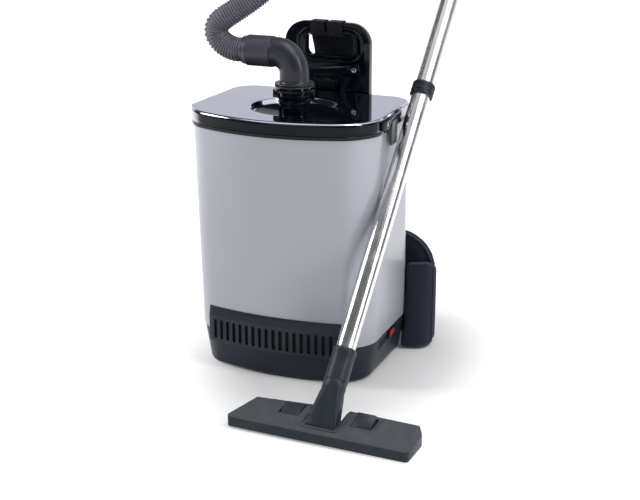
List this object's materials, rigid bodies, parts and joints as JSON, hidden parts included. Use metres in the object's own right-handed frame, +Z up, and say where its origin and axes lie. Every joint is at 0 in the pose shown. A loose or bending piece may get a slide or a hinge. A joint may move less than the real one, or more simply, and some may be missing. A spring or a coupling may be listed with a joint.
{
  "type": "backpack vacuum cleaner",
  "caption": "Upright backpack vacuum with silver casing, black lid with inlet elbow, exhaust grille, carry plate, harness pads, steel wand and floor tool.",
  "frame": {"origin": "middle of the part's bounding box on the floor, measured without the free hose", "axes": "+Z up, +X to the right seen from the front, +Y from the grille towards the back pad"},
  "size_m": [0.516, 0.8461, 1.1624],
  "materials": {
    "casing_silver": "semi-gloss silver lacquer",
    "gloss_black": "polished black moulding",
    "navy_plastic": "fine matte dark navy moulding",
    "dark_plastic": "matte dark grey moulding",
    "grey_plastic": "matte mid grey moulding",
    "hose_skin": "matte ribbed dark grey hose",
    "steel_tube": "polished stainless tube",
    "steel": "plain bright steel",
    "iron": "stacked motor iron",
    "copper": "wound copper",
    "fan_metal": "pressed aluminium",
    "rubber": "soft black rubber",
    "navy_fabric": "woven navy fabric over foam",
    "webbing": "woven black webbing",
    "filter_cloth": "off-white filter fleece",
    "bag_paper": "light filter paper",
    "card": "brown pressed card",
    "switch_red": "glossy red rocker",
    "bristle": "short black bristle"
  },
  "bodies": {
    "machine": {"base_housing": "navy_plastic", "rubber_feet": "rubber", "exhaust_grille": "navy_plastic", "exhaust_foam": "rubber", "casing": "casing_silver", "casing_rim": "dark_plastic", "motor_drum": "dark_plastic", "motor_deck": "dark_plastic", "fan_housing": "steel", "stator": "iron", "motor_bearings": "steel", "motor_seal": "rubber", "cloth_filter": "filter_cloth", "filter_frame": "dark_plastic", "dust_bag": "bag_paper", "bag_collar": "card", "hose": "hose_skin", "carry_plate": "gloss_black", "plate_screws": "steel", "catch_pin": "steel", "back_frame": "dark_plastic", "back_pad": "navy_fabric", "hip_pad": "navy_fabric", "hip_wing_left": "navy_fabric", "hip_wing_right": "navy_fabric", "strap_loops": "webbing", "shoulder_strap_left": "navy_fabric", "shoulder_strap_right": "navy_fabric", "switch_bezel": "dark_plastic", "cable_inlet": "rubber", "lower_wand": "steel_tube", "wand_collar": "navy_plastic", "upper_wand": "steel_tube", "handle_tube": "dark_plastic", "hose_end_cuff": "dark_plastic", "neck_socket": "navy_plastic"},
    "rotor": {"motor_shaft": "steel", "armature": "copper", "fan_wheel": "fan_metal"},
    "lid": {"lid": "gloss_black", "lid_gasket": "rubber", "inlet_socket": "gloss_black", "elbow": "dark_plastic", "latch_brackets": "gloss_black", "latch_screws": "steel", "latch_pins": "steel"},
    "lock_ring": {"lock_ring": "gloss_black"},
    "hose_cuff": {"hose_cuff": "dark_plastic"},
    "latch_left": {"latch_lever_left": "grey_plastic"},
    "latch_right": {"latch_lever_right": "grey_plastic"},
    "catch": {"plate_catch": "gloss_black"},
    "switch": {"switch_rocker": "switch_red"},
    "slider": {"suction_slider": "grey_plastic"},
    "knuckle": {"neck_knuckle": "navy_plastic"},
    "tool_head": {"tool_shell": "navy_plastic", "sole_plate": "steel"},
    "brush": {"brush_strips": "bristle"},
    "pedal_left": {"pedal_left": "navy_plastic"},
    "pedal_right": {"pedal_right": "navy_plastic"},
    "wheels": {"tool_wheels": "rubber"}
  },
  "joints": [
    {"name": "rotor_spin", "type": "hinge", "parent": "machine", "child": "rotor", "pos_m": [-0.059, -0.0571, 0.06], "axis": [0, 0, 1], "continuous": true},
    {"name": "lid_lift", "type": "slide", "parent": "machine", "child": "lid", "axis": [0, 0, 1], "range_m": [0, 0.1], "deforming": ["hose"]},
    {"name": "lock_turn", "type": "hinge", "parent": "lid", "child": "lock_ring", "pos_m": [-0.058, -0.1101, 0.4783], "axis": [0, 0, 1], "range_deg": [0, 30]},
    {"name": "cuff_turn", "type": "hinge", "parent": "lid", "child": "hose_cuff", "pos_m": [-0.1143, -0.1101, 0.5433], "axis": [-1, 0, 0], "continuous": true},
    {"name": "latch_left_open", "type": "hinge", "parent": "lid", "child": "latch_left", "pos_m": [-0.22945, -0.10003, 0.4406], "axis": [0.0182, 0.9998, 0], "range_deg": [0, 95]},
    {"name": "latch_right_open", "type": "hinge", "parent": "lid", "child": "latch_right", "pos_m": [0.11145, -0.10003, 0.4406], "axis": [0.0182, -0.9998, 0], "range_deg": [0, 95]},
    {"name": "catch_tilt", "type": "hinge", "parent": "machine", "child": "catch", "pos_m": [-0.059, 0.0484, 0.4543], "axis": [-1, 0, 0], "range_deg": [0, 8], "stiffness_Nm_per_rad": 0.3, "springref_deg": -2.86},
    {"name": "switch_rock", "type": "hinge", "parent": "machine", "child": "switch", "pos_m": [0.09517, -0.0541, 0.0565], "axis": [0.1681, 0, 0.9858], "range_deg": [-14, 0]},
    {"name": "slider_turn", "type": "hinge", "parent": "machine", "child": "slider", "pos_m": [0.15555, 0.32706, 0.87888], "axis": [0.0468, 0.6371, 0.7694], "range_deg": [0, 50]},
    {"name": "neck_swivel", "type": "hinge", "parent": "machine", "child": "knuckle", "pos_m": [0.10679, -0.33694, 0.07694], "axis": [0.0468, 0.6371, 0.7694], "range_deg": [-45, 45]},
    {"name": "head_tilt", "type": "hinge", "parent": "knuckle", "child": "tool_head", "pos_m": [0.10333, -0.38408, 0.02], "axis": [0.9984, -0.0558, 0], "range_deg": [-35, 35]},
    {"name": "brush_lift", "type": "slide", "parent": "tool_head", "child": "brush", "axis": [0, 0, 1], "range_m": [0, 0.004]},
    {"name": "pedal_left_tilt", "type": "hinge", "parent": "tool_head", "child": "pedal_left", "pos_m": [0.0421, -0.36864, 0.016], "axis": [0.9984, -0.0558, 0], "range_deg": [0, 20]},
    {"name": "pedal_right_tilt", "type": "hinge", "parent": "tool_head", "child": "pedal_right", "pos_m": [0.1659, -0.37556, 0.016], "axis": [0.9984, -0.0558, 0], "range_deg": [-20, 0]},
    {"name": "wheel_roll", "type": "hinge", "parent": "tool_head", "child": "wheels", "pos_m": [0.10568, -0.34215, 0.006], "axis": [0.9984, -0.0558, 0], "continuous": true}
  ],
  "couplings": [
    {"joint": "pedal_right_tilt", "follows": "brush_lift", "rad_per_m": -87.266},
    {"joint": "pedal_left_tilt", "follows": "brush_lift", "rad_per_m": 87.266}
  ]
}
